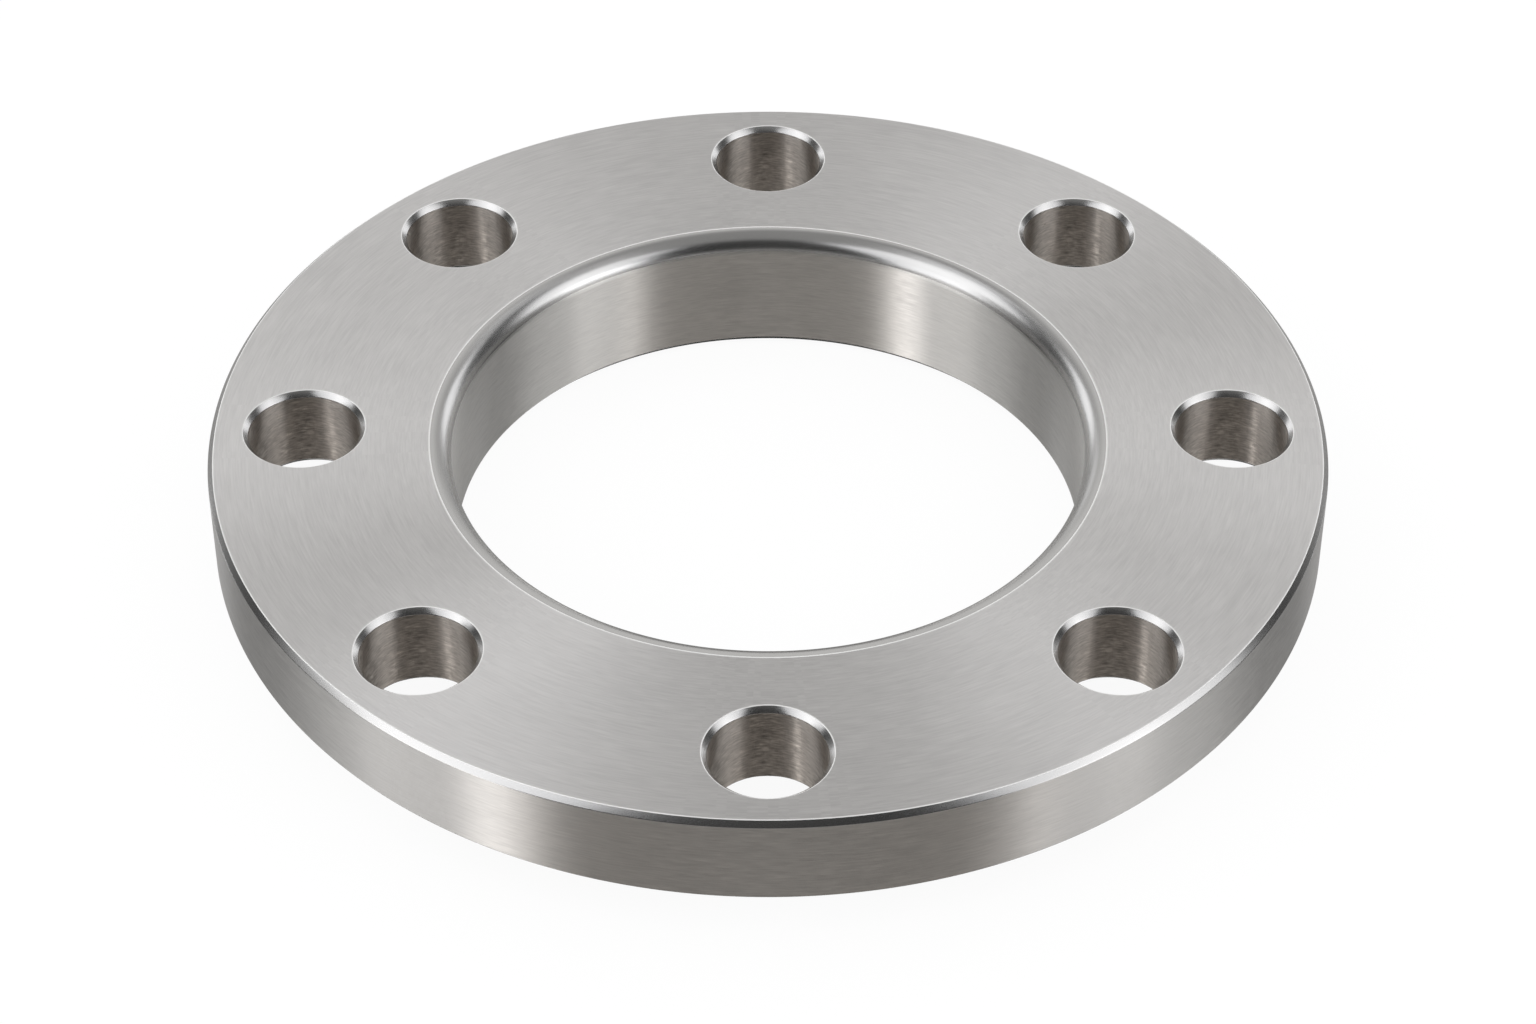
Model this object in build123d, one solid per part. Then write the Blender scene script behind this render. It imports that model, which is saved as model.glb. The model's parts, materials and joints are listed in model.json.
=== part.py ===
from build123d import *

import os
from math import isclose

# Lap joint flange: one turned and drilled ring of stainless steel.
# It slides along a pipe and bears on the back of a stub end's lap, so the bore
# is rounded where it meets the lap face and nothing is welded to the ring.
# Sizes are in millimetres. The origin is the centre of the hub's end face,
# which the ring rests on, and +Z runs along the bore towards the lap face.

# Across the ring, from the pipe outwards
bore_diameter = 130.0
hub_wall = 8.0
nut_land = 10.75  # between the hub and a bolt hole, where the nuts bear
bolt_hole_diameter = 23.0
rim_land = 7.75  # between a bolt hole and the rim

# Along the bore
plate_thickness = 19.5
hub_height = 9.5  # how far the hub stands out of the nut face

# Bolt holes, the first on +X
bolt_hole_count = 8
lap_side_chamfer = 1.1
nut_side_chamfer = 1.8

# Edges, where a chamfer is at 45 degrees
lap_radius = 4.3  # rounding between the bore and the lap face
bore_edge_chamfer = 2.0  # between the bore and the hub's end
hub_edge_chamfer = 1.0
hub_root_radius = 2.0  # hollow corner between the hub and the nut face
rim_edge_break = 0.3  # between the nut face and the rim
rim_chamfer = 1.1  # between the rim and the lap face

bolt_hole_radius = bolt_hole_diameter / 2
bore_radius = bore_diameter / 2
hub_radius = bore_radius + hub_wall
bolt_circle_radius = hub_radius + nut_land + bolt_hole_radius
rim_radius = bolt_circle_radius + bolt_hole_radius + rim_land
nut_face_height = hub_height
lap_face_height = hub_height + plate_thickness

quarter_turn = 90


def rounding(centre, radius):
    """A quarter circle from the top of its circle round to the side that faces the axis."""
    return CenterArc(centre, radius, quarter_turn, quarter_turn)


def ring_section():
    """Half of the ring's section, as turned, with x as the radius and y as the height."""
    lap_rounding = (bore_radius + lap_radius, lap_face_height - lap_radius)
    hub_root = (hub_radius + hub_root_radius, nut_face_height - hub_root_radius)
    with BuildSketch(Plane.XZ) as section:
        with BuildLine():
            rounding(lap_rounding, lap_radius)
            Polyline(
                (bore_radius, lap_face_height - lap_radius),
                (bore_radius, bore_edge_chamfer),
                (bore_radius + bore_edge_chamfer, 0),
                (hub_radius - hub_edge_chamfer, 0),
                (hub_radius, hub_edge_chamfer),
                (hub_radius, nut_face_height - hub_root_radius),
            )
            rounding(hub_root, hub_root_radius)
            Polyline(
                (hub_radius + hub_root_radius, nut_face_height),
                (rim_radius - rim_edge_break, nut_face_height),
                (rim_radius, nut_face_height + rim_edge_break),
                (rim_radius, lap_face_height - rim_chamfer),
                (rim_radius - rim_chamfer, lap_face_height),
                (bore_radius + lap_radius, lap_face_height),
            )
        make_face()
    return section.sketch


def bolt_hole_mouths(ring):
    """The edges where the bolt holes open, on the nut face and on the lap face."""
    mouths = ring.edges().filter_by(GeomType.CIRCLE)
    mouths = mouths.filter_by(lambda edge: isclose(edge.radius, bolt_hole_radius))
    by_height = mouths.group_by(Axis.Z)
    return by_height[0], by_height[-1]


def lap_joint_flange():
    """The ring turned about the bore's axis, drilled round its bolt circle, with both mouths chamfered."""
    with BuildPart() as ring:
        add(ring_section())
        revolve(axis=Axis.Z)
        with PolarLocations(bolt_circle_radius, bolt_hole_count):
            Hole(bolt_hole_radius)
        nut_side, lap_side = bolt_hole_mouths(ring)
        chamfer(nut_side, nut_side_chamfer)
        chamfer(lap_side, lap_side_chamfer)
    return ring.part


os.makedirs("parts", exist_ok=True)
export_step(lap_joint_flange(), "parts/lap_joint_flange.step")
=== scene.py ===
"""The looks of a lap joint flange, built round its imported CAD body.

The file is laid out as an add-on and run as a script. The ring is modelled as a
turner makes it: half its section is drawn and spun about the bore's axis, the bolt
holes are drilled with a stepped cutter, and each surface then gets its own finish.
Everything is in metres, in the frame of the CAD body.
"""

import json
import math
from itertools import pairwise
from typing import NamedTuple

import bmesh
import bpy
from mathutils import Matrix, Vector


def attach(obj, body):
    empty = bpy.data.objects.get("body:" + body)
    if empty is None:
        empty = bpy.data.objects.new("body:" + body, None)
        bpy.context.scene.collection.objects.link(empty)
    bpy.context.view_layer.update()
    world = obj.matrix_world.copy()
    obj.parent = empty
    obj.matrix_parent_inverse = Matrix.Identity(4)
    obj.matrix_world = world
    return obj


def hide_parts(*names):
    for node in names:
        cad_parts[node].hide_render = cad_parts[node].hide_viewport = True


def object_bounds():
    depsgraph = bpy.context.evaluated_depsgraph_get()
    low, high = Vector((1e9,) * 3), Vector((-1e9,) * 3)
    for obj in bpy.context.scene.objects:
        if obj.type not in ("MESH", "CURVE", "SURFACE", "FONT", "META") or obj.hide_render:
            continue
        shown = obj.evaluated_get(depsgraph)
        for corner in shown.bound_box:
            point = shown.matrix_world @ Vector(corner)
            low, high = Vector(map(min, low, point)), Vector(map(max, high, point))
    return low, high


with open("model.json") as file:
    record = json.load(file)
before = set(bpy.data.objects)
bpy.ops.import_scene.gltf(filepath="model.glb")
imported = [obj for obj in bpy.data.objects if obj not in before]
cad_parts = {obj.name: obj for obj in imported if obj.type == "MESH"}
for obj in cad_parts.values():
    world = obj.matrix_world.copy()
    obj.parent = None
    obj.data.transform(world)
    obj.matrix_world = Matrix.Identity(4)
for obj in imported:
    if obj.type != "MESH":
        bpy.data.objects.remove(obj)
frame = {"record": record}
CAD_LOW, CAD_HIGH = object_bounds()

bl_info = {
    "name": "Lap joint flange",
    "version": (1, 0, 0),
    "blender": (4, 5, 0),
    "location": "3D View > Sidebar > Flange",
    "description": "Turns, drills and finishes a lap joint flange, and sets its studio",
    "category": "Object",
}

NODE = "lap_joint_flange"
BODY = "root"
SLOT = "stainless_steel"
RING = "turned_ring"
CUTTER = "bolt_hole_cutter"
TURNING_MAP = "turning"

MM = 0.001
MICRON = 0.001 * MM
TOUCHING = 2 * MICRON  # places closer than this are one place
FULL_TURN = 2 * math.pi

MOUNTS = {mount["name"]: mount for mount in frame["record"]["mounts"]}
BORE = MOUNTS["stub_end_bore"]["dims"]
HOLES = MOUNTS["bolt_holes"]["dims"]
STEEL = next(material for material in frame["record"]["materials"] if material["slot"] == SLOT)


def length(name, description, default):
    """A size in metres."""
    return bpy.props.FloatProperty(
        name=name, description=description, default=default, min=0.0, precision=5, unit="LENGTH"
    )


def colour(name, description, default):
    """A colour as light reflects from it, from 0 to 1."""
    return bpy.props.FloatVectorProperty(
        name=name,
        description=description,
        default=default,
        min=0.0,
        max=1.0,
        size=3,
        subtype="COLOR",
    )


class RingSizes(bpy.types.PropertyGroup):
    """What the lathe makes"""

    outside_diameter: length("Outside", "Width over the rim", CAD_HIGH.x - CAD_LOW.x)
    height: length("Height", "From the hub's end to the lap face", CAD_HIGH.z - CAD_LOW.z)
    bore_diameter: length("Bore", "Width of the bore's straight wall", 2 * BORE["r_mm"] * MM)
    hub_diameter: length("Hub", "Width over the hub", 0.146)
    hub_height: length("Hub height", "How far the hub stands out", MOUNTS["nut_face"]["pos_m"][2])
    lap_radius: length("Lap radius", "Rounding between the bore and the lap face", 0.0043)
    bore_edge_chamfer: length("Bore edge", "Chamfer between the bore and the hub's end", 0.002)
    hub_edge_chamfer: length("Hub edge", "Chamfer round the hub's end", 0.001)
    hub_root_radius: length("Hub root", "Hollow corner between the hub and the nut face", 0.002)
    rim_edge_break: length("Rim break", "Broken edge between the nut face and the rim", 0.0003)
    rim_chamfer: length("Rim chamfer", "Chamfer between the rim and the lap face", 0.0011)
    burnish: length("Burnish", "How far polishing has rounded each edge", 0.00013)
    # The worn land beside the lap radius carries a painted highlight line as well as wear
    worn_highlight_land: length("Worn land", "How far wear has spread from the lap radius onto the face", 0.0003)
    facets: bpy.props.IntProperty(
        name="Facets", description="Faces round the ring", default=360, min=24
    )


class BoltHoleSizes(bpy.types.PropertyGroup):
    """What the drill and the countersink make"""

    circle_diameter: length(
        "Bolt circle", "Width of the circle through the holes", HOLES["pcd_mm"] * MM
    )
    diameter: length("Hole", "Width of a bolt hole", 2 * HOLES["hole_r_mm"] * MM)
    lap_side_chamfer: length("Lap side", "Chamfer round a hole on the lap face", 0.0011)
    nut_side_chamfer: length("Nut side", "Chamfer round a hole on the nut face", 0.0018)
    overrun: length("Overrun", "How far the cutter passes each face", 0.0002)
    count: bpy.props.IntProperty(
        name="Holes", description="How many", default=HOLES["count"], min=1
    )
    facets: bpy.props.IntProperty(
        name="Facets", description="Faces round a hole", default=96, min=12
    )


class SteelColours(bpy.types.PropertyGroup):
    """The steel under its different finishes"""

    faced: colour("Faced", "The lap face", (0.8, 0.795, 0.793))
    turned: colour("Turned", "The rim and the nut side", STEEL["base_color"])
    bored: colour("Bored", "The wall of the bore", (0.72, 0.715, 0.7))
    polished: colour("Polished", "The lap radius and the chamfers", (0.62, 0.62, 0.618))
    # The drilled colour is darker and warmer than the rest of the steel: partly the drilled steel's own
    # tone, partly painted shade for the inside of the holes
    drilled: colour("Drilled", "The walls of the bolt holes", (0.52, 0.485, 0.45))
    # The worn colour is partly wear and partly a painted highlight: it is brighter than the rest of the
    # steel, so each edge shows a bright line
    worn: colour("Worn", "The edges of the lap radius and the bolt holes", (0.85, 0.85, 0.84))


class StudioSettings(bpy.types.PropertyGroup):
    """The camera, the floor and the light"""

    lens: bpy.props.FloatProperty(
        name="Lens", description="Focal length on a 36 mm wide frame", default=92.74, unit="CAMERA"
    )
    pitch: bpy.props.FloatProperty(
        name="Pitch",
        description="How far the camera looks down",
        default=math.radians(40.55),
        subtype="ANGLE",
    )
    camera_back: length("Back", "From the ring's axis to the camera, level", 0.6284)
    camera_up: length("Up", "From the floor to the camera", 0.5440)
    box_light: bpy.props.FloatProperty(
        name="Box light",
        description="How bright every soft box is, as a share of its own brightness",
        default=1.0,
        min=0.0,
    )
    floor_glow: bpy.props.FloatProperty(
        name="Floor glow",
        description="How much of the floor's white hides shadows",
        default=0.93,
        min=0.0,
        max=1.0,
    )


# Modelling helpers


def start_piece():
    """Leaves edit mode and clears the selection before a new primitive is added."""
    if bpy.context.object and bpy.context.object.mode == "EDIT":
        bpy.ops.object.mode_set(mode="OBJECT")
    bpy.ops.object.select_all(action="DESELECT")


def pick(piece):
    """Selects that piece alone and makes it the active one."""
    bpy.ops.object.select_all(action="DESELECT")
    bpy.context.view_layer.objects.active = piece
    piece.select_set(True)


def near(one, other):
    """Whether two sizes are the same."""
    return abs(one - other) < TOUCHING


def middle_of(element):
    """The centre of a vertex, an edge or a face."""
    if isinstance(element, bmesh.types.BMVert):
        return element.co
    return sum((corner.co for corner in element.verts), Vector()) / len(element.verts)


def select_where(kind, test):
    """Selects the vertices, edges or faces of the piece in edit mode that pass the test."""
    bpy.ops.mesh.select_all(action="DESELECT")
    mesh = bmesh.from_edit_mesh(bpy.context.object.data)
    found = [element for element in getattr(mesh, kind) if test(element)]
    for element in found:
        element.select_set(True)
    bmesh.update_edit_mesh(bpy.context.object.data)
    if not found:
        raise RuntimeError(f"{bpy.context.object.name} has none of the {kind} to work on")


def extrude(move):
    """Extrudes what is selected by that much."""
    bpy.ops.mesh.extrude_region_move(TRANSFORM_OT_translate={"value": move})


def close_mesh():
    """Merges what meets and turns every face outwards."""
    bpy.ops.mesh.select_all(action="SELECT")
    bpy.ops.mesh.remove_doubles(threshold=TOUCHING)
    bpy.ops.mesh.normals_make_consistent(inside=False)


# The ring

LAP_RADIUS_STEPS = 14
HUB_ROOT_STEPS = 6
BURNISH_STEPS = 2
SHARP = math.radians(20)  # a corner that turns by more than this is burnished


def draw_section(sizes):
    """Half the ring's section in the XZ plane: the plate, pushed in to the bore and down for the hub."""
    bore, hub, rim = sizes.bore_diameter / 2, sizes.hub_diameter / 2, sizes.outside_diameter / 2
    middle = ((hub + rim) / 2, 0, (sizes.hub_height + sizes.height) / 2)
    start_piece()
    bpy.ops.mesh.primitive_plane_add(size=1, location=middle, rotation=(math.pi / 2, 0, 0))
    ring = bpy.context.object
    ring.name = ring.data.name = RING
    ring.scale = (rim - hub, sizes.height - sizes.hub_height, 1)
    bpy.ops.object.transform_apply(location=True, rotation=True, scale=True)
    bpy.ops.object.mode_set(mode="EDIT")
    select_where("edges", lambda edge: near(middle_of(edge).x, hub))
    extrude((bore - hub, 0, 0))
    select_where(
        "edges",
        lambda edge: middle_of(edge).x < hub and near(middle_of(edge).z, sizes.hub_height),
    )
    extrude((0, 0, -sizes.hub_height))
    bpy.ops.mesh.select_all(action="SELECT")
    bpy.ops.mesh.dissolve_limited()


def cut_corner(x, z, size, steps=1):
    """Cuts the section's corner at that place, straight in one step or round in several."""
    select_where("verts", lambda corner: near(corner.co.x, x) and near(corner.co.z, z))
    bpy.ops.mesh.bevel(offset=size, offset_type="OFFSET", segments=steps, affect="VERTICES")


def shape_corners(sizes):
    """The radii and chamfers of the section, and then the burnish on every edge still sharp."""
    bore, hub, rim = sizes.bore_diameter / 2, sizes.hub_diameter / 2, sizes.outside_diameter / 2
    cut_corner(bore, sizes.height, sizes.lap_radius, LAP_RADIUS_STEPS)
    cut_corner(hub, sizes.hub_height, sizes.hub_root_radius, HUB_ROOT_STEPS)
    cut_corner(bore, 0, sizes.bore_edge_chamfer)
    cut_corner(hub, 0, sizes.hub_edge_chamfer)
    cut_corner(rim, sizes.hub_height, sizes.rim_edge_break)
    cut_corner(rim, sizes.height, sizes.rim_chamfer)
    select_where("verts", lambda corner: corner.calc_edge_angle() > SHARP)
    bpy.ops.mesh.bevel(
        offset=sizes.burnish, offset_type="OFFSET", segments=BURNISH_STEPS, affect="VERTICES"
    )


def part_worn_highlight_land(sizes):
    """Parts the narrow worn land beside the lap radius, which carries wear and a painted highlight line,
    from the rest of the lap face.
    """
    bpy.ops.mesh.select_all(action="SELECT")
    bpy.ops.mesh.delete(type="ONLY_FACE")
    radius_end = sizes.bore_diameter / 2 + sizes.lap_radius
    select_where("edges", lambda edge: near(middle_of(edge).z, sizes.height))
    (top,) = [edge for edge in bmesh.from_edit_mesh(bpy.context.object.data).edges if edge.select]
    middle = middle_of(top).x
    bpy.ops.mesh.subdivide(number_cuts=1)
    select_where(
        "verts", lambda corner: near(corner.co.x, middle) and near(corner.co.z, sizes.height)
    )
    bpy.ops.transform.translate(value=(radius_end + sizes.worn_highlight_land - middle, 0, 0))


def spin_section(sizes):
    """Spins the section's outline about the bore's axis."""
    bpy.ops.mesh.select_all(action="SELECT")
    bpy.ops.mesh.spin(steps=sizes.facets, angle=FULL_TURN, center=(0, 0, 0), axis=(0, 0, 1))
    close_mesh()
    bpy.ops.object.mode_set(mode="OBJECT")


class FLANGE_OT_turn_ring(bpy.types.Operator):
    """Draw half of the ring's section, shape its corners and spin it about the bore's axis"""

    bl_idname = "flange.turn_ring"
    bl_label = "Turn the ring"
    bl_options = {"REGISTER", "UNDO"}

    def execute(self, context):
        sizes = context.scene.ring_sizes
        draw_section(sizes)
        shape_corners(sizes)
        part_worn_highlight_land(sizes)
        spin_section(sizes)
        return {"FINISHED"}


# The bolt holes

# How far a slope leads out and up for each metre along it
CHAMFER_LEG = math.sqrt(0.5)
# How much a burnish rises for each metre out, halfway between a face and its chamfer
BURNISH_RISE = math.tan(math.pi / 8)


def cutter_stations(ring, holes):
    """Radius and height of each step of the cutter, from under the nut face to over the lap face."""
    wall = holes.diameter / 2
    flat, slope = ring.burnish, ring.burnish * CHAMFER_LEG
    run_out = flat + holes.overrun / BURNISH_RISE
    below, above = ring.hub_height, ring.height
    return (
        (wall + holes.nut_side_chamfer + run_out, below - holes.overrun),
        (wall + holes.nut_side_chamfer - slope, below + slope),
        (wall + slope, below + holes.nut_side_chamfer - slope),
        (wall, below + holes.nut_side_chamfer + flat),
        (wall, above - holes.lap_side_chamfer - flat),
        (wall + slope, above - holes.lap_side_chamfer + slope),
        (wall + holes.lap_side_chamfer - slope, above - slope),
        (wall + holes.lap_side_chamfer + run_out, above + holes.overrun),
    )


def make_cutter(ring, holes):
    """One stepped cutter on +X, extruded from its lowest circle, and its copies round the ring."""
    stations = cutter_stations(ring, holes)
    centre = holes.circle_diameter / 2
    first_radius, first_height = stations[0]
    start_piece()
    bpy.ops.mesh.primitive_circle_add(
        vertices=holes.facets,
        radius=first_radius,
        fill_type="NGON",
        location=(centre, 0, first_height),
    )
    cutter = bpy.context.object
    cutter.name = cutter.data.name = CUTTER
    bpy.ops.object.transform_apply(location=True, rotation=True, scale=True)
    bpy.ops.object.mode_set(mode="EDIT")
    for (radius, height), (next_radius, next_height) in pairwise(stations):
        extrude((0, 0, next_height - height))
        growth = next_radius / radius
        bpy.ops.transform.resize(
            value=(growth, growth, 1), center_override=(centre, 0, next_height)
        )
    close_mesh()
    copies = holes.count - 1
    if copies:
        bpy.ops.mesh.spin(
            steps=copies,
            angle=FULL_TURN * copies / holes.count,
            dupli=True,
            center=(0, 0, 0),
            axis=(0, 0, 1),
        )
        close_mesh()
    bpy.ops.object.mode_set(mode="OBJECT")
    return cutter


def check_closed(piece):
    """Stops the script if the piece's skin has a hole or a stray face."""
    mesh = bmesh.new()
    mesh.from_mesh(piece.data)
    open_edges = sum(not edge.is_manifold for edge in mesh.edges)
    volume = mesh.calc_volume(signed=True)
    mesh.free()
    if open_edges or volume <= 0:
        raise RuntimeError(f"{piece.name} has {open_edges} open edges and a volume of {volume}")


class FLANGE_OT_drill_bolt_holes(bpy.types.Operator):
    """Drill the bolt holes with a stepped cutter, which leaves a chamfer at both their mouths"""

    bl_idname = "flange.drill_bolt_holes"
    bl_label = "Drill the bolt holes"
    bl_options = {"REGISTER", "UNDO"}

    def execute(self, context):
        cutter = make_cutter(context.scene.ring_sizes, context.scene.bolt_hole_sizes)
        ring = bpy.data.objects[RING]
        pick(ring)
        drilling = ring.modifiers.new("drilling", "BOOLEAN")
        drilling.operation = "DIFFERENCE"
        drilling.solver = "EXACT"
        drilling.object = cutter
        bpy.ops.object.modifier_apply(modifier=drilling.name)
        bpy.data.objects.remove(cutter)
        bpy.ops.object.mode_set(mode="EDIT")
        close_mesh()
        bpy.ops.object.mode_set(mode="OBJECT")
        check_closed(ring)
        return {"FINISHED"}


# The surfaces of the ring

# How far a face's normal rises from level, in degrees
UPRIGHT = 3  # a wall's, at most
RADIUS_FOOT = 13  # the lap radius's foot, where the bore's finish runs out
WORN_HIGHLIGHT = 50  # a worn edge's, which is painted bright as a highlight, between the lap face and a chamfer, at least
CUT = 75  # that of any surface in a bolt hole, at most
LEVEL = 89  # a flat face's, at least


def leaning(face):
    """How far a face's normal rises from level, in degrees."""
    return math.degrees(math.asin(max(-1.0, min(1.0, face.normal.z))))


def hole_axes(holes):
    """Where the bolt holes' axes stand, seen from above."""
    radius = holes.circle_diameter / 2
    turns = (FULL_TURN * number / holes.count for number in range(holes.count))
    return [Vector((radius * math.cos(turn), radius * math.sin(turn), 0)) for turn in turns]


def mouth_radius(sizes, holes):
    """How far from its axis a bolt hole's widest mouth reaches, with a burnish's width to spare."""
    chamfer = max(holes.lap_side_chamfer, holes.nut_side_chamfer)
    return holes.diameter / 2 + chamfer + 2 * sizes.burnish


def own_axis(face, axes, reach):
    """The axis that a face was cut about: a bolt hole's within its mouth, and else the bore's."""
    if abs(leaning(face)) < CUT:
        for axis in axes:
            if (face.center - axis).xy.length < reach:
                return axis
    return Vector()


def surface_of(face, axes, reach, sizes):
    """Which surface of the ring a face belongs to."""
    rise, away = leaning(face), face.center.xy.length
    bore, rim = sizes.bore_diameter / 2, sizes.outside_diameter / 2
    radius_end = bore + sizes.lap_radius
    # The worn land and the worn edges get the finish that paints a highlight line along them
    if rise > LEVEL:
        return "worn_edge" if away < radius_end + sizes.worn_highlight_land else "lap_face"
    if rise > WORN_HIGHLIGHT and away > radius_end:
        return "worn_edge"
    if own_axis(face, axes, reach).length:
        return "hole" if abs(rise) < UPRIGHT else "chamfer"
    if rise < -LEVEL:
        return "nut_side"
    if abs(rise) < UPRIGHT:
        return "bore" if away < bore + TOUCHING else "rim"
    if face.center.z > sizes.height - sizes.lap_radius and away < radius_end:
        return "bore" if rise < RADIUS_FOOT else "lap_radius"
    if face.center.z < sizes.hub_height and sizes.hub_diameter / 2 < away < rim - sizes.rim_chamfer:
        return "nut_side"
    return "chamfer"


def across(place, away, rising):
    """The distance over a surface that rises or falls as it leads away from its axis."""
    return away + place.z if rising else away - place.z


def lay_turning_map(ring, axes, reach):
    """A map of turns about each surface's own axis, and of metres across the surface."""
    mesh = ring.data
    for old in list(mesh.uv_layers):
        mesh.uv_layers.remove(old)
    layer = mesh.uv_layers.new(name=TURNING_MAP)
    for face in mesh.polygons:
        axis = own_axis(face, axes, reach)
        outward = face.center - axis
        face_turn = math.atan2(outward.y, outward.x) / FULL_TURN
        rising = face.normal.z * face.normal.dot(Vector((outward.x, outward.y, 0))) < 0
        for loop in face.loop_indices:
            place = mesh.vertices[mesh.loops[loop].vertex_index].co - axis
            # Within half a turn of the face's own, so that no face spans the map
            turn = math.atan2(place.y, place.x) / FULL_TURN - face_turn
            turn = face_turn + (turn + 0.5) % 1 - 0.5
            layer.data[loop].uv = (turn, across(place, place.xy.length, rising))


# Shader nodes


def add_node(tree, kind, **values):
    """A node of that kind. A value whose name is one of the node's sockets goes to the socket."""
    node = tree.nodes.new(kind)
    for name, value in values.items():
        if name in node.inputs:
            node.inputs[name].default_value = value
        else:
            setattr(node, name, value)
    return node


def feed(tree, socket, value):
    """Sets a socket to a value, or links it if the value is another node's socket."""
    if isinstance(value, bpy.types.NodeSocket):
        tree.links.new(value, socket)
    else:
        socket.default_value = value


def calculate(tree, operation, *values):
    """A Math node on those values or sockets, and the socket of its result."""
    node = add_node(tree, "ShaderNodeMath", operation=operation)
    for socket, value in zip(node.inputs, values):
        feed(tree, socket, value)
    return node.outputs[0]


def mix_shaders(tree, share, one, other):
    """One shader that gives way to another by that share."""
    mix = add_node(tree, "ShaderNodeMixShader")
    tree.links.new(share, mix.inputs["Fac"])
    tree.links.new(one, mix.inputs[1])
    tree.links.new(other, mix.inputs[2])
    return mix.outputs["Shader"]


def start_group(name, inputs, outputs):
    """An empty node group with those number inputs and outputs, and its two end nodes."""
    group = bpy.data.node_groups.new(name, "ShaderNodeTree")
    for label, default in inputs.items():
        socket = group.interface.new_socket(label, in_out="INPUT", socket_type="NodeSocketFloat")
        socket.default_value = default
    for label in outputs:
        group.interface.new_socket(label, in_out="OUTPUT", socket_type="NodeSocketFloat")
    return group, group.nodes.new("NodeGroupInput"), group.nodes.new("NodeGroupOutput")


# What the finishes share

BANDS_ROUND = 0.12  # bands round a surface, as a share of its marks
MARKS_IN_BAND = 3  # how many lie side by side in a band
NOISE_LOW, NOISE_HIGH = 0.3, 0.7  # nearly all of a noise pattern lies between these


def make_tool_marks():
    """Marks that a tool leaves round its own axis: fine ones, and the slower bands they come in."""
    group, given, made = start_group(
        "tool_marks",
        {"Marks round": 30.0, "Marks per metre": 3000.0, "Bands per metre": 300.0, "Slant": 0.0},
        ("Marks", "Bands"),
    )
    turning = add_node(group, "ShaderNodeUVMap", uv_map=TURNING_MAP)
    parts = add_node(group, "ShaderNodeSeparateXYZ")
    group.links.new(turning.outputs["UV"], parts.inputs["Vector"])
    angle = calculate(group, "MULTIPLY", parts.outputs["X"], FULL_TURN)
    cosine = calculate(group, "COSINE", angle)
    sine = calculate(group, "SINE", angle)
    marks_radius = calculate(group, "DIVIDE", given.outputs["Marks round"], FULL_TURN)
    slant = calculate(group, "MULTIPLY", sine, given.outputs["Slant"])
    height = calculate(group, "ADD", parts.outputs["Y"], slant)
    for label, share, per_metre, detail in (
        ("Marks", 1.0, "Marks per metre", 3.0),
        ("Bands", BANDS_ROUND, "Bands per metre", 1.0),
    ):
        radius = calculate(group, "MULTIPLY", marks_radius, share)
        stretched = calculate(group, "MULTIPLY", height, given.outputs[per_metre])
        place = add_node(group, "ShaderNodeCombineXYZ")
        group.links.new(calculate(group, "MULTIPLY", cosine, radius), place.inputs["X"])
        group.links.new(calculate(group, "MULTIPLY", sine, radius), place.inputs["Y"])
        group.links.new(stretched, place.inputs["Z"])
        noise = add_node(group, "ShaderNodeTexNoise", Scale=1.0, Detail=detail, Roughness=0.6)
        group.links.new(place.outputs["Vector"], noise.inputs["Vector"])
        group.links.new(noise.outputs["Fac"], made.inputs[label])


def make_handling():
    """Soft clouds that wiping and handling leave on bright steel, and small specks."""
    group, given, made = start_group(
        "handling", {"Clouds per metre": 45.0, "Specks per metre": 900.0}, ("Clouds", "Specks")
    )
    place = add_node(group, "ShaderNodeTexCoord")
    for label, per_metre, detail in (
        ("Clouds", "Clouds per metre", 2.0),
        ("Specks", "Specks per metre", 1.0),
    ):
        noise = add_node(group, "ShaderNodeTexNoise", Detail=detail, Roughness=0.5)
        group.links.new(place.outputs["Object"], noise.inputs["Vector"])
        group.links.new(given.outputs[per_metre], noise.inputs["Scale"])
        group.links.new(noise.outputs["Fac"], made.inputs[label])


def vary(tree, pattern, share, middle=1.0):
    """A noise pattern stretched to vary by that share to each side of its middle."""
    node = add_node(tree, "ShaderNodeMapRange")
    tree.links.new(pattern, node.inputs["Value"])
    node.inputs["From Min"].default_value = NOISE_LOW
    node.inputs["From Max"].default_value = NOISE_HIGH
    node.inputs["To Min"].default_value = middle * (1 - share)
    node.inputs["To Max"].default_value = middle * (1 + share)
    return node.outputs["Result"]


# The finishes


class Finish(NamedTuple):
    """Bare steel as a tool leaves it. The worn edges' finish also paints a highlight line, and the
    drilled walls' colour paints some shade.
    """

    name: str
    colour: str  # its name in SteelColours
    roughness: float
    anisotropy: float
    marks_round: float  # marks one after another in a full turn
    marks_per_metre: float  # marks side by side
    tone: float  # how far the marks vary in brightness
    depth: float  # of the marks, in metres
    slant: float = 0.0  # how far the marks climb to each side of level, in metres
    metallic: float = 1.0


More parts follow.
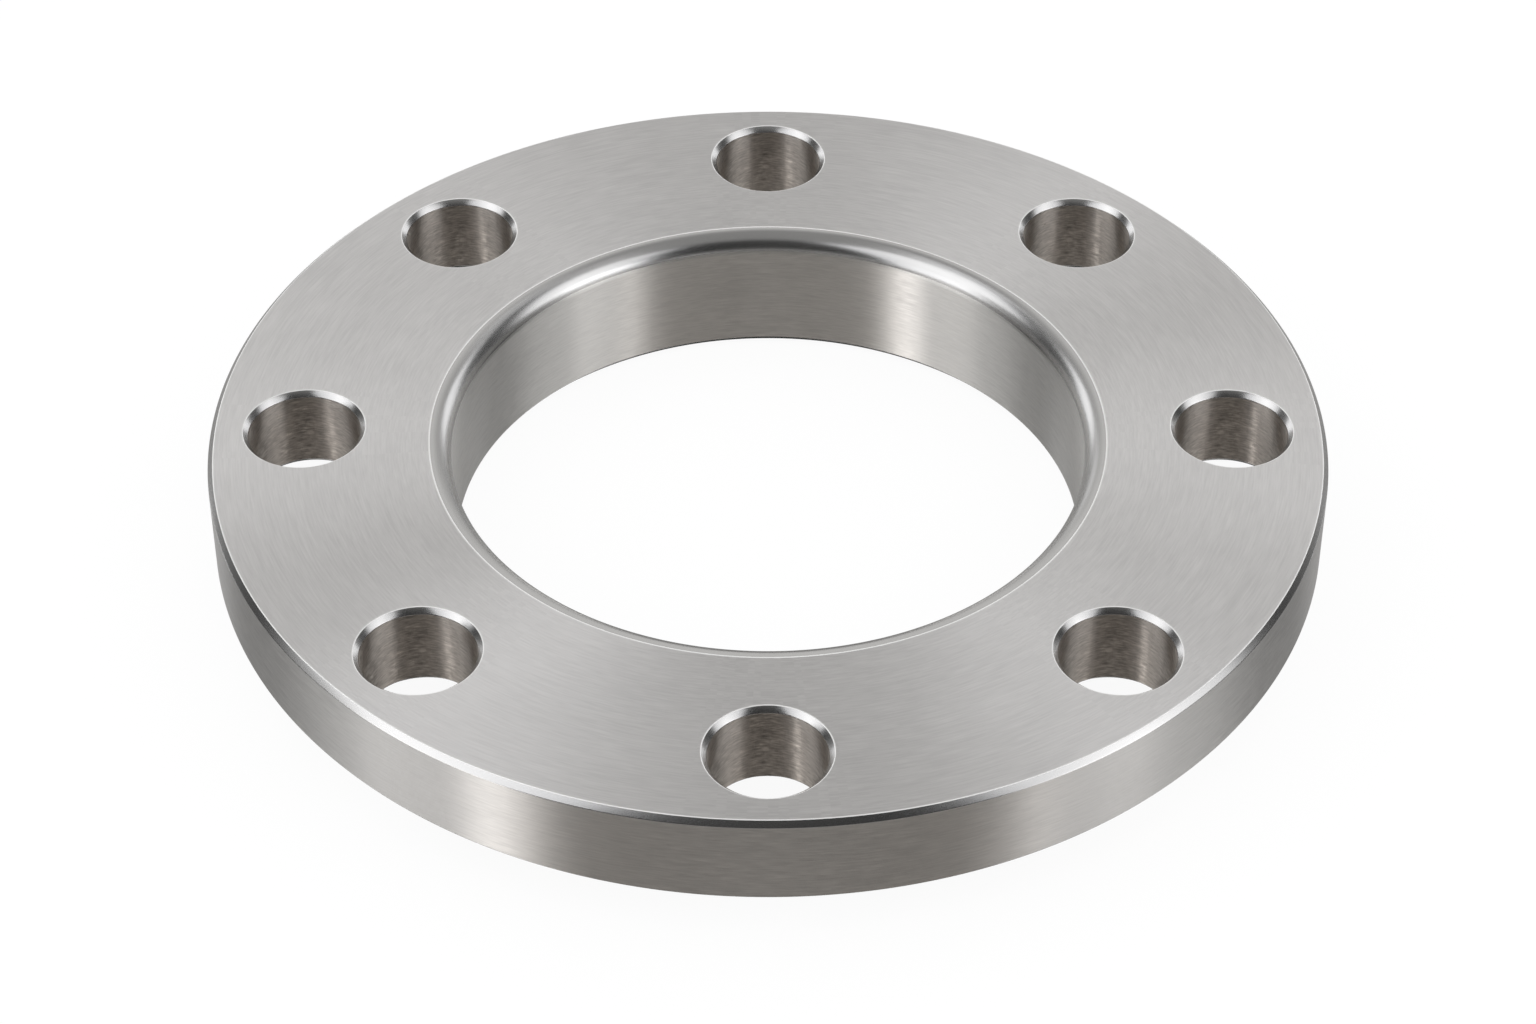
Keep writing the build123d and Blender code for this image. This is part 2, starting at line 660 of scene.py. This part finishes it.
FINISHES = {
    "lap_face": Finish("turned_lap_face", "faced", 0.4, 0.85, 90, 2600, 0.05, 1.2 * MICRON),
    "rim": Finish("turned_rim", "turned", 0.33, 0.93, 150, 3200, 0.07, 1.2 * MICRON),
    "bore": Finish("bored_wall", "bored", 0.33, 0.93, 110, 3200, 0.07, 1.2 * MICRON),
    "lap_radius": Finish("polished_radius", "polished", 0.26, 0.3, 60, 1500, 0.01, 0.2 * MICRON),
    "chamfer": Finish("polished_chamfer", "polished", 0.24, 0.3, 60, 1500, 0.01, 0.2 * MICRON),
    # Worn edges: partly wear, partly a painted highlight. The bright colour and the part that is not
    # metal make a bright line under any lamp
    "worn_edge": Finish("worn_edge", "worn", 0.5, 0.0, 60, 1500, 0.01, 0.2 * MICRON, metallic=0.6),
    # Drilled walls: their darker colour is partly painted shade inside the holes
    "hole": Finish("drilled_wall", "drilled", 0.42, 0.99, 40, 3000, 0.2, 4 * MICRON, slant=3 * MM),
    "nut_side": Finish("turned_nut_side", "turned", 0.42, 0.7, 90, 1600, 0.07, 2 * MICRON),
}

# How far each pattern varies, as a share of the finish's tone
BANDS_TONE = 0.2
MARKS_GLOSS = -1.5  # a bright mark is a smoother one
SPECKS_GLOSS = 0.5

CLOUDS_TONE = 0.02  # the same on every finish
ACROSS_MARKS = 0.25  # of a turn, from along the marks to where the steel gleams


def place_group(tree, name, values):
    """The outputs of one of the shared node groups, with this material's own values as its inputs."""
    group = add_node(tree, "ShaderNodeGroup", node_tree=bpy.data.node_groups[name])
    for label, value in values.items():
        group.inputs[label].default_value = value
    return group.outputs


def steel_finish(finish, base):
    """The material of a finish. Its marks run round the surface's own axis, and it gleams across them."""
    material = bpy.data.materials.new(finish.name)
    material.use_nodes = True
    tree = material.node_tree
    shader = tree.nodes["Principled BSDF"]
    shader.inputs["Metallic"].default_value = finish.metallic
    shader.inputs["Anisotropic"].default_value = finish.anisotropy
    shader.inputs["Anisotropic Rotation"].default_value = ACROSS_MARKS
    along = add_node(tree, "ShaderNodeTangent", direction_type="UV_MAP", uv_map=TURNING_MAP)
    tree.links.new(along.outputs["Tangent"], shader.inputs["Tangent"])

    tooling = place_group(
        tree,
        "tool_marks",
        {
            "Marks round": finish.marks_round,
            "Marks per metre": finish.marks_per_metre,
            "Bands per metre": finish.marks_per_metre / MARKS_IN_BAND,
            "Slant": finish.slant,
        },
    )
    handling = place_group(tree, "handling", {})

    marked = vary(tree, tooling["Marks"], finish.tone)
    banded = vary(tree, tooling["Bands"], finish.tone * BANDS_TONE)
    clouded = vary(tree, handling["Clouds"], CLOUDS_TONE)
    brightness = calculate(tree, "MULTIPLY", calculate(tree, "MULTIPLY", marked, banded), clouded)
    steel = add_node(tree, "ShaderNodeVectorMath", operation="SCALE")
    steel.inputs["Vector"].default_value = base
    tree.links.new(brightness, steel.inputs["Scale"])
    tree.links.new(steel.outputs["Vector"], shader.inputs["Base Color"])

    matt = vary(tree, tooling["Marks"], finish.tone * MARKS_GLOSS, middle=finish.roughness)
    specked = vary(tree, handling["Specks"], finish.tone * SPECKS_GLOSS)
    tree.links.new(calculate(tree, "MULTIPLY", matt, specked), shader.inputs["Roughness"])

    relief = add_node(tree, "ShaderNodeBump", Strength=1.0, Distance=finish.depth)
    tree.links.new(tooling["Marks"], relief.inputs["Height"])
    tree.links.new(relief.outputs["Normal"], shader.inputs["Normal"])
    return material


def finish_surfaces(ring, colours, surface_at):
    """Makes every finish and gives each face of the ring the finish of its surface."""
    make_tool_marks()
    make_handling()
    ring.data.materials.clear()
    for finish in FINISHES.values():
        ring.data.materials.append(steel_finish(finish, tuple(getattr(colours, finish.colour))))
    order = list(FINISHES)
    for face in ring.data.polygons:
        face.material_index = order.index(surface_at(face))


SMOOTH_ANGLE = math.radians(30)  # edges that turn by more than this stay crisp
LARGE_FACES_FIRST = 100  # the most that large faces can count over small ones in the shading


def smooth(ring):
    """Shades the ring's round surfaces smooth and keeps its flat ones flat."""
    pick(ring)
    bpy.ops.object.shade_smooth_by_angle(angle=SMOOTH_ANGLE)
    flats = ring.modifiers.new("flats", "WEIGHTED_NORMAL")
    flats.weight = LARGE_FACES_FIRST
    flats.keep_sharp = True
    bpy.ops.object.modifier_apply(modifier=flats.name)


class FLANGE_OT_finish_steel(bpy.types.Operator):
    """Give each surface of the ring its finish, and put the ring in the place of its CAD node"""

    bl_idname = "flange.finish_steel"
    bl_label = "Finish the steel"
    bl_options = {"REGISTER", "UNDO"}

    def execute(self, context):
        sizes, holes = context.scene.ring_sizes, context.scene.bolt_hole_sizes
        ring = bpy.data.objects[RING]
        axes, reach = hole_axes(holes), mouth_radius(sizes, holes)
        lay_turning_map(ring, axes, reach)
        finish_surfaces(
            ring, context.scene.steel_colours, lambda face: surface_of(face, axes, reach, sizes)
        )
        smooth(ring)

        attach(ring, BODY)
        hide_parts(NODE)
        return {"FINISHED"}


# The soft boxes


def direction(azimuth, elevation):
    """A unit vector that way. Azimuth 0 is the camera's side and 90 degrees is +X."""
    turn, rise = math.radians(azimuth), math.radians(elevation)
    return Vector(
        (math.sin(turn) * math.cos(rise), -math.cos(turn) * math.cos(rise), math.sin(rise))
    )


COOL = (0.985, 0.985, 1.0)
CREAM = (1.0, 0.96, 0.93)
WARM = (1.0, 0.92, 0.84)


class SoftBox(NamedTuple):
    """A lamp as the ring sees it, with its place and its spans in degrees."""

    name: str
    azimuth: float
    elevation: float
    wide: float
    high: float
    brightness: float  # as bright metal mirrors it
    light: tuple = COOL


SOFT_BOXES = (
    # The big boxes at the sides, the boxes under them and the strips near the ground
    SoftBox("left_box", -68, 44, 54, 36, 1.15),
    SoftBox("right_box", 70, 34, 44, 44, 0.95),
    SoftBox("left_mid_box", -60, 10, 34, 32, 1.4),
    SoftBox("right_mid_box", 58, 10, 30, 32, 1.2),
    SoftBox("left_low_box", -62, -20, 30, 28, 0.5, CREAM),
    SoftBox("right_low_box", 60, -20, 24, 28, 0.55, CREAM),
    SoftBox("left_low_strip", -54, -40, 8, 36, 1.7, CREAM),
    SoftBox("right_low_strip", 52, -40, 6, 36, 0.5, CREAM),
    # The strips behind, and the small boxes over them, which draw the fans on the lap face
    SoftBox("left_back_strip", -137, 20, 18, 30, 1.2),
    SoftBox("right_back_strip", 137, 20, 18, 30, 1.1),
    SoftBox("left_low_back", -120, -8, 14, 14, 1.5),
    SoftBox("right_low_back", 120, -8, 14, 14, 0.9),
    SoftBox("left_fan_box", -158, 20, 10, 20, 0.4),
    SoftBox("right_fan_box", 149, 54, 12, 12, 0.4),
    SoftBox("right_high_back", 130, 44, 14, 22, 0.3),
    SoftBox("left_top_box", -115, 62, 26, 18, 0.65),
    SoftBox("right_top_box", 108, 62, 26, 18, 0.3),
    # The card in front, near the ground
    SoftBox("front_card", 0, -50, 84, 40, 0.35, WARM),
)
BOX_DISTANCE = 1.5


def box_side(span):
    """The side of a soft box that spans so many degrees, seen from the ring."""
    return 2 * BOX_DISTANCE * math.tan(math.radians(span / 2))


def hang_soft_boxes(studio):
    """Area lamps that face the ring."""
    for soft_box in SOFT_BOXES:
        towards = direction(soft_box.azimuth, soft_box.elevation)
        facing = (-towards).to_track_quat("-Z", "Y").to_euler()
        bpy.ops.object.light_add(type="AREA", location=towards * BOX_DISTANCE, rotation=facing)
        box = bpy.context.object
        box.name = soft_box.name
        lamp = box.data
        lamp.shape = "RECTANGLE"
        lamp.size = box_side(soft_box.wide)
        lamp.size_y = box_side(soft_box.high)
        lamp.energy = studio.box_light * soft_box.brightness * math.pi * lamp.size * lamp.size_y
        lamp.color = soft_box.light
        box.visible_camera = False


# The floor, the walls and the camera

FRAME_WIDTH = 36  # of the camera, in millimetres
FLOOR_WIDTH = 12
FLOOR_GAP = 0.02 * MM  # between the floor and the ring
PAPER = (0.85, 0.85, 0.85, 1)
WHITE = (1, 1, 1, 1)

ROOM_RADIUS = 4
ROOM_TINT = (1.0, 0.985, 0.965, 1)
BACK = 180  # of the room, in degrees from its front

# How bright the dim walls are at places round the room, in degrees from the front to the back:
# near the ground, up to the height of the ring and above it
GROUND_WALLS = ((0, 0.0), (80, 0.0), (105, 1.2), (130, 0.7), (155, 0.3), (180, 0.0))
LOW_WALLS = ((0, 0.2), (40, 0.1), (65, 0.7), (100, 0.0), (125, 0.25), (150, 0.4), (180, 0.3))
HIGH_WALLS = ((0, 0.05), (40, 0.0), (75, 0.6), (105, 0.0), (125, 0.2), (150, 0.4), (180, 0.8))
CEILING = 0.3
# The soft borders over each of them, as heights in a room with a radius of 1
GROUND_BORDER = (-0.72, -0.55)
LOW_BORDER = (0.0, 0.2)
HIGH_BORDER = (0.76, 0.9)


def paint(piece, name):
    """A new, empty material on that piece: its node tree and the socket that its shader goes to."""
    material = bpy.data.materials.new(name)
    material.use_nodes = True
    tree = material.node_tree
    tree.nodes.clear()
    piece.data.materials.append(material)
    return tree, add_node(tree, "ShaderNodeOutputMaterial").inputs["Surface"]


def lay_floor(studio):
    """A pale floor just under the ring. It is white to the camera and keeps a faint shadow."""
    bpy.ops.mesh.primitive_plane_add(size=FLOOR_WIDTH, location=(0, 0, -FLOOR_GAP))
    floor = bpy.context.object
    floor.name = "floor"
    bpy.ops.object.transform_apply(location=True, rotation=True, scale=True)
    tree, surface = paint(floor, "white_floor")
    paper = add_node(tree, "ShaderNodeBsdfDiffuse", Color=PAPER)
    white = add_node(tree, "ShaderNodeEmission", Color=WHITE, Strength=1.0)
    ray = add_node(tree, "ShaderNodeLightPath").outputs
    mirrored = calculate(tree, "MAXIMUM", ray["Is Glossy Ray"], ray["Is Transmission Ray"])
    seen = calculate(tree, "MAXIMUM", ray["Is Camera Ray"], mirrored)
    glow = calculate(tree, "MULTIPLY", seen, studio.floor_glow)
    lit = mix_shaders(tree, glow, paper.outputs["BSDF"], white.outputs["Emission"])
    side = add_node(tree, "ShaderNodeNewGeometry")
    clear = add_node(tree, "ShaderNodeBsdfTransparent")
    from_above = mix_shaders(tree, side.outputs["Backfacing"], lit, clear.outputs["BSDF"])
    tree.links.new(from_above, surface)
    floor.visible_glossy = False
    floor.visible_shadow = False


def wall_band(tree, round_room, stops):
    """How bright one band of the walls is round the room."""
    ramp = add_node(tree, "ShaderNodeFloatCurve")
    curve = ramp.mapping.curves[0]
    first, *between, last = [(place / BACK, brightness) for place, brightness in stops]
    curve.points[0].location, curve.points[1].location = first, last
    for place in between:
        curve.points.new(*place)
    for point in curve.points:
        point.handle_type = "VECTOR"
    ramp.mapping.use_clip = False
    ramp.mapping.update()
    tree.links.new(round_room, ramp.inputs["Value"])
    return ramp.outputs["Value"]


def blend(tree, height, border, below, above):
    """One brightness below a soft border and another above it."""
    share = add_node(tree, "ShaderNodeMapRange", interpolation_type="SMOOTHSTEP")
    share.inputs["From Min"].default_value, share.inputs["From Max"].default_value = border
    tree.links.new(height, share.inputs["Value"])
    mix = add_node(tree, "ShaderNodeMix", data_type="FLOAT")
    tree.links.new(share.outputs["Result"], mix.inputs["Factor"])
    feed(tree, mix.inputs["A"], below)
    feed(tree, mix.inputs["B"], above)
    return mix.outputs["Result"]


def raise_walls():
    """The dim room round the studio, which only the metal mirrors: dark in front, brighter beside."""
    bpy.ops.mesh.primitive_uv_sphere_add(segments=48, ring_count=24, radius=ROOM_RADIUS)
    walls = bpy.context.object
    walls.name = "studio_walls"
    tree, surface = paint(walls, "dim_walls")
    place = add_node(tree, "ShaderNodeTexCoord")
    unit = add_node(tree, "ShaderNodeVectorMath", operation="NORMALIZE")
    tree.links.new(place.outputs["Object"], unit.inputs[0])
    parts = add_node(tree, "ShaderNodeSeparateXYZ")
    tree.links.new(unit.outputs["Vector"], parts.inputs["Vector"])
    sideways = calculate(tree, "ABSOLUTE", parts.outputs["X"])
    forwards = calculate(tree, "MULTIPLY", parts.outputs["Y"], -1.0)
    round_room = calculate(tree, "DIVIDE", calculate(tree, "ARCTAN2", sideways, forwards), math.pi)
    bands = (GROUND_WALLS, LOW_WALLS, HIGH_WALLS)
    ground, low, high = (wall_band(tree, round_room, stops) for stops in bands)
    height = parts.outputs["Z"]
    brightness = blend(tree, height, GROUND_BORDER, ground, low)
    brightness = blend(tree, height, LOW_BORDER, brightness, high)
    brightness = blend(tree, height, HIGH_BORDER, brightness, CEILING)
    glow = add_node(tree, "ShaderNodeEmission", Color=ROOM_TINT)
    tree.links.new(brightness, glow.inputs["Strength"])
    tree.links.new(glow.outputs["Emission"], surface)
    for kind in ("camera", "diffuse", "transmission", "volume_scatter", "shadow"):
        setattr(walls, f"visible_{kind}", False)


def light_world(scene):
    """Plain white all round, behind the floor's edge."""
    scene.world = bpy.data.worlds.new("white_surround")
    scene.world.use_nodes = True
    surround = scene.world.node_tree.nodes["Background"]
    surround.inputs["Color"].default_value = WHITE
    surround.inputs["Strength"].default_value = 1.0


def set_camera(scene, studio):
    """The camera at the photograph's place and angle."""
    bpy.ops.object.camera_add(
        location=(0, -studio.camera_back, studio.camera_up),
        rotation=(math.pi / 2 - studio.pitch, 0, 0),
    )
    camera = bpy.context.object
    camera.data.sensor_width = FRAME_WIDTH
    camera.data.lens = studio.lens
    scene.camera = camera


class FLANGE_OT_set_stage(bpy.types.Operator):
    """Lay the floor, raise the dim walls, hang the soft boxes and set the camera"""

    bl_idname = "flange.set_stage"
    bl_label = "Set the stage"
    bl_options = {"REGISTER", "UNDO"}

    def execute(self, context):
        scene = context.scene
        start_piece()
        scene.view_settings.view_transform = "Standard"
        lay_floor(scene.studio_settings)
        raise_walls()
        light_world(scene)
        hang_soft_boxes(scene.studio_settings)
        set_camera(scene, scene.studio_settings)
        return {"FINISHED"}


class FLANGE_PT_workshop(bpy.types.Panel):
    """The steps in the order of the work, and the sizes that they use"""

    bl_idname = "FLANGE_PT_workshop"
    bl_label = "Lap joint flange"
    bl_space_type = "VIEW_3D"
    bl_region_type = "UI"
    bl_category = "Flange"

    def draw(self, context):
        scene = context.scene
        for step, settings in STEPS:
            box = self.layout.box()
            box.operator(step.bl_idname)
            group = getattr(scene, settings)
            for name in group.__annotations__:
                box.prop(group, name)


STEPS = (
    (FLANGE_OT_turn_ring, "ring_sizes"),
    (FLANGE_OT_drill_bolt_holes, "bolt_hole_sizes"),
    (FLANGE_OT_finish_steel, "steel_colours"),
    (FLANGE_OT_set_stage, "studio_settings"),
)
SETTINGS = {
    "ring_sizes": RingSizes,
    "bolt_hole_sizes": BoltHoleSizes,
    "steel_colours": SteelColours,
    "studio_settings": StudioSettings,
}
CLASSES = (*SETTINGS.values(), *(step for step, _ in STEPS), FLANGE_PT_workshop)


def register():
    """Makes the steps and their settings known to Blender."""
    for kind in CLASSES:
        bpy.utils.register_class(kind)
    for name, kind in SETTINGS.items():
        setattr(bpy.types.Scene, name, bpy.props.PointerProperty(type=kind))


def unregister():
    """Takes the settings and the steps out again."""
    for name in SETTINGS:
        delattr(bpy.types.Scene, name)
    for kind in reversed(CLASSES):
        bpy.utils.unregister_class(kind)


def main():
    register()
    bpy.ops.flange.turn_ring()
    bpy.ops.flange.drill_bolt_holes()
    bpy.ops.flange.finish_steel()
    bpy.ops.flange.set_stage()


if __name__ == "__main__":
    main()
